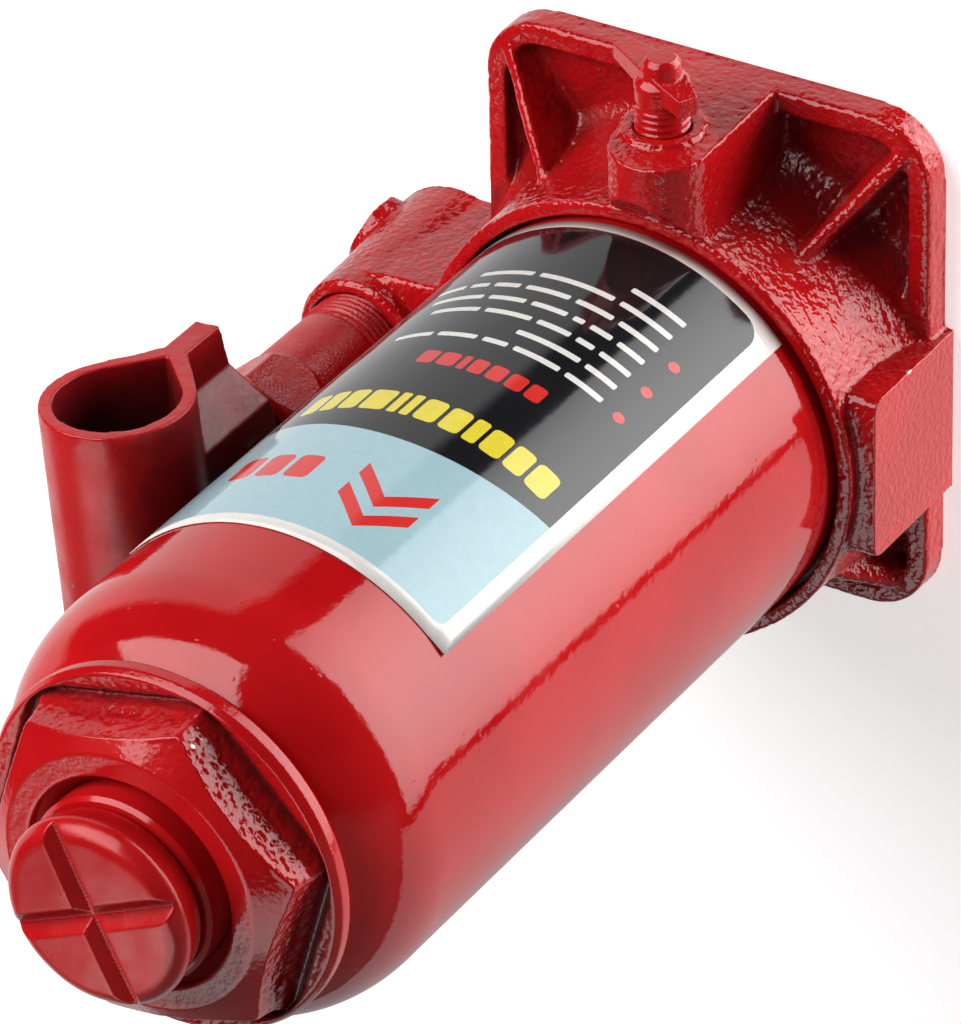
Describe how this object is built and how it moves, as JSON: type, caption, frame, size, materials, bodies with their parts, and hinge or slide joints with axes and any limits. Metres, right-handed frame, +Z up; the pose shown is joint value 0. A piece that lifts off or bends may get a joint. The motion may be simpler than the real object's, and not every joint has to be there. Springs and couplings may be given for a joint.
{
  "type": "hydraulic bottle jack",
  "caption": "Hand-pumped hydraulic bottle jack with a rectangular base, round tank, screw-out saddle, side pump with a handle socket and a release valve.",
  "frame": {"origin": "on the ram's axis at the underside of the base", "axes": "+Z up along the ram, -Y towards the release valve and the handle socket's mouth, +X towards the pump"},
  "size_m": [0.1373, 0.1335, 0.233],
  "materials": {
    "cast_paint": "glossy paint on cast iron",
    "gloss_paint": "glossy paint",
    "bare_steel": "machined",
    "rubber": "matte",
    "copper": "satin",
    "label_film": "glossy printed film"
  },
  "bodies": {
    "base_body": {"base": "cast_paint", "tank_gasket": "rubber", "reservoir_tube": "gloss_paint", "label": "label_film", "filler_plug": "rubber", "tank_nut": "cast_paint", "tank_nut_seal": "rubber", "ram_wiper": "rubber", "cylinder": "bare_steel", "cylinder_gasket": "copper", "pump_barrel": "gloss_paint", "barrel_washer": "copper", "gland_seal": "rubber", "release_valve_ball": "bare_steel", "passage_plug": "gloss_paint", "suction_ball": "bare_steel", "suction_spring": "bare_steel", "oil_screen": "copper", "discharge_ball": "bare_steel", "discharge_spring": "bare_steel", "discharge_plug": "bare_steel", "overload_ball": "bare_steel", "overload_spring": "bare_steel", "overload_plug": "bare_steel", "lower_link_pin": "bare_steel", "lower_link_pin_clips": "bare_steel"},
    "ram_body": {"ram": "gloss_paint", "piston_cup": "rubber", "piston_retainer": "bare_steel", "ram_stop_ring": "bare_steel"},
    "screw_body": {"extension_screw": "gloss_paint"},
    "plunger_body": {"pump_plunger": "bare_steel", "plunger_cup": "rubber"},
    "socket_body": {"handle_socket": "gloss_paint", "plunger_pin": "bare_steel", "plunger_pin_clips": "bare_steel"},
    "link_body": {"link": "gloss_paint", "upper_link_pin": "bare_steel", "upper_link_pin_clips": "bare_steel"},
    "valve_body": {"release_valve_screw": "gloss_paint", "release_valve_seal": "rubber"}
  },
  "joints": [
    {"name": "ram_lift", "type": "slide", "parent": "base_body", "child": "ram_body", "axis": [0, 0, 1], "range_m": [0, 0.15]},
    {"name": "screw_out", "type": "slide", "parent": "ram_body", "child": "screw_body", "axis": [0, 0, 1], "range_m": [0, 0.08]},
    {"name": "plunger_stroke", "type": "slide", "parent": "base_body", "child": "plunger_body", "axis": [0, 0, 1], "range_m": [0, 0.01681]},
    {"name": "handle_swing", "type": "hinge", "parent": "plunger_body", "child": "socket_body", "pos_m": [0.064, -0.0023, 0.093], "axis": [-0.9976, -0.0698, 0], "range_deg": [0, 45]},
    {"name": "link_swing", "type": "hinge", "parent": "base_body", "child": "link_body", "pos_m": [0.06262, 0.01742, 0.028], "axis": [-0.9976, -0.0698, 0], "range_deg": [0, 0.791]},
    {"name": "release_turn", "type": "hinge", "parent": "base_body", "child": "valve_body", "pos_m": [-0.0035, -0.07, 0.029], "axis": [0, -1, 0], "range_deg": [0, 540]}
  ],
  "couplings": [
    {"joint": "handle_swing", "follows": "plunger_stroke", "rad_per_m": 46.73},
    {"joint": "link_swing", "follows": "plunger_stroke", "rad_per_m": 0.8193}
  ]
}
